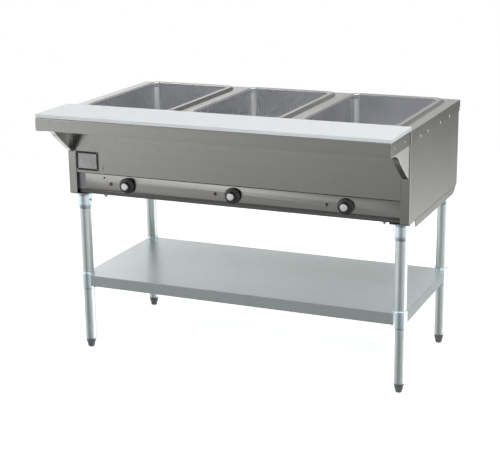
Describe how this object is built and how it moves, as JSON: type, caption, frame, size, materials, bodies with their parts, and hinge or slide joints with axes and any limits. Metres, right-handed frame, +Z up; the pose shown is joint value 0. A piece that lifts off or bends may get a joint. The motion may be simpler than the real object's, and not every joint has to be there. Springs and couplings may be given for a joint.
{
  "type": "steam table unit",
  "caption": "Electric steam table with deep open wells in a stainless body, a white cutting board on a bracketed front shelf, a control strip with knobs, and an open stand with an undershelf.",
  "frame": {"origin": "on the floor, under the middle of the unit's overall width and depth", "axes": "+X along the length to the cook's right, +Y from the cook's side to the back, +Z up"},
  "size_m": [1.219, 0.79, 0.8841],
  "materials": {
    "stainless": "brushed satin stainless sheet",
    "galvanised_sheet": "galvanised sheet with a faint spangle",
    "galvanised_tube": "galvanised tube, satin",
    "zinc_plated": "bright zinc plate, slightly blue",
    "aluminised": "aluminised steel, dull blue-grey",
    "insulation": "glass fibre blanket",
    "heater": "dark oxidised heater sheath",
    "switch_body": "moulded insulating plastic",
    "shaft_steel": "plain steel",
    "knob_black": "black phenolic, satin",
    "pilot_red": "unlit red lens",
    "cable_black": "black insulation",
    "board_white": "white polyethylene, lightly textured",
    "foot_grey": "dark grey moulded plastic",
    "plate_grey": "blank foil plate"
  },
  "bodies": {
    "stand": {"deck_top": "stainless", "side_panel_left": "stainless", "side_panel_right": "stainless", "front_panel": "stainless", "control_panel": "stainless", "control_end_cap": "stainless", "front_shelf": "stainless", "shelf_bracket_left": "stainless", "shelf_bracket_right": "stainless", "base_rail_left": "stainless", "base_rail_right": "stainless", "rear_panel": "galvanised_sheet", "bottom_panel": "galvanised_sheet", "leg_front_left": "galvanised_tube", "leg_front_right": "galvanised_tube", "leg_rear_left": "galvanised_tube", "leg_rear_right": "galvanised_tube", "leg_socket_front_left": "zinc_plated", "leg_socket_front_right": "zinc_plated", "leg_socket_rear_left": "zinc_plated", "leg_socket_rear_right": "zinc_plated", "well_liner_1": "aluminised", "well_liner_2": "aluminised", "well_liner_3": "aluminised", "element_support_1": "aluminised", "element_support_2": "aluminised", "element_support_3": "aluminised", "well_insulation_1": "insulation", "well_insulation_2": "insulation", "well_insulation_3": "insulation", "heating_element_1": "heater", "heating_element_2": "heater", "heating_element_3": "heater", "heat_switch_1": "switch_body", "heat_switch_2": "switch_body", "heat_switch_3": "switch_body", "terminal_block": "switch_body", "pilot_light_1": "pilot_red", "pilot_light_2": "pilot_red", "pilot_light_3": "pilot_red", "wire_harness": "cable_black", "supply_gland": "cable_black", "rating_plate": "plate_grey"},
    "board": {"cutting_board": "board_white"},
    "shelf": {"undershelf": "galvanised_sheet", "shelf_collar_front_left": "zinc_plated", "shelf_collar_front_right": "zinc_plated", "shelf_collar_rear_left": "zinc_plated", "shelf_collar_rear_right": "zinc_plated"},
    "knob_1": {"control_knob_1": "knob_black", "switch_shaft_1": "shaft_steel"},
    "knob_2": {"control_knob_2": "knob_black", "switch_shaft_2": "shaft_steel"},
    "knob_3": {"control_knob_3": "knob_black", "switch_shaft_3": "shaft_steel"},
    "foot_body_front_left": {"foot_front_left": "foot_grey"},
    "foot_body_front_right": {"foot_front_right": "foot_grey"},
    "foot_body_rear_left": {"foot_rear_left": "foot_grey"},
    "foot_body_rear_right": {"foot_rear_right": "foot_grey"}
  },
  "joints": [
    {"name": "board_lift", "type": "slide", "parent": "stand", "child": "board", "axis": [0, 0, 1], "range_m": [0, 0.15]},
    {"name": "undershelf_height", "type": "slide", "parent": "stand", "child": "shelf", "axis": [0, 0, 1], "range_m": [-0.15, 0.2]},
    {"name": "knob_1_turn", "type": "hinge", "parent": "stand", "child": "knob_1", "pos_m": [-0.38, -0.1966, 0.6175], "axis": [0, 1, 0], "range_deg": [0, 300]},
    {"name": "knob_2_turn", "type": "hinge", "parent": "stand", "child": "knob_2", "pos_m": [0.01, -0.1966, 0.6175], "axis": [0, 1, 0], "range_deg": [0, 300]},
    {"name": "knob_3_turn", "type": "hinge", "parent": "stand", "child": "knob_3", "pos_m": [0.4, -0.1966, 0.6175], "axis": [0, 1, 0], "range_deg": [0, 300]},
    {"name": "foot_front_left_screw", "type": "slide", "parent": "stand", "child": "foot_body_front_left", "axis": [0, 0, 1], "range_m": [-0.025, 0]},
    {"name": "foot_front_right_screw", "type": "slide", "parent": "stand", "child": "foot_body_front_right", "axis": [0, 0, 1], "range_m": [-0.025, 0]},
    {"name": "foot_rear_left_screw", "type": "slide", "parent": "stand", "child": "foot_body_rear_left", "axis": [0, 0, 1], "range_m": [-0.025, 0]},
    {"name": "foot_rear_right_screw", "type": "slide", "parent": "stand", "child": "foot_body_rear_right", "axis": [0, 0, 1], "range_m": [-0.025, 0]}
  ]
}
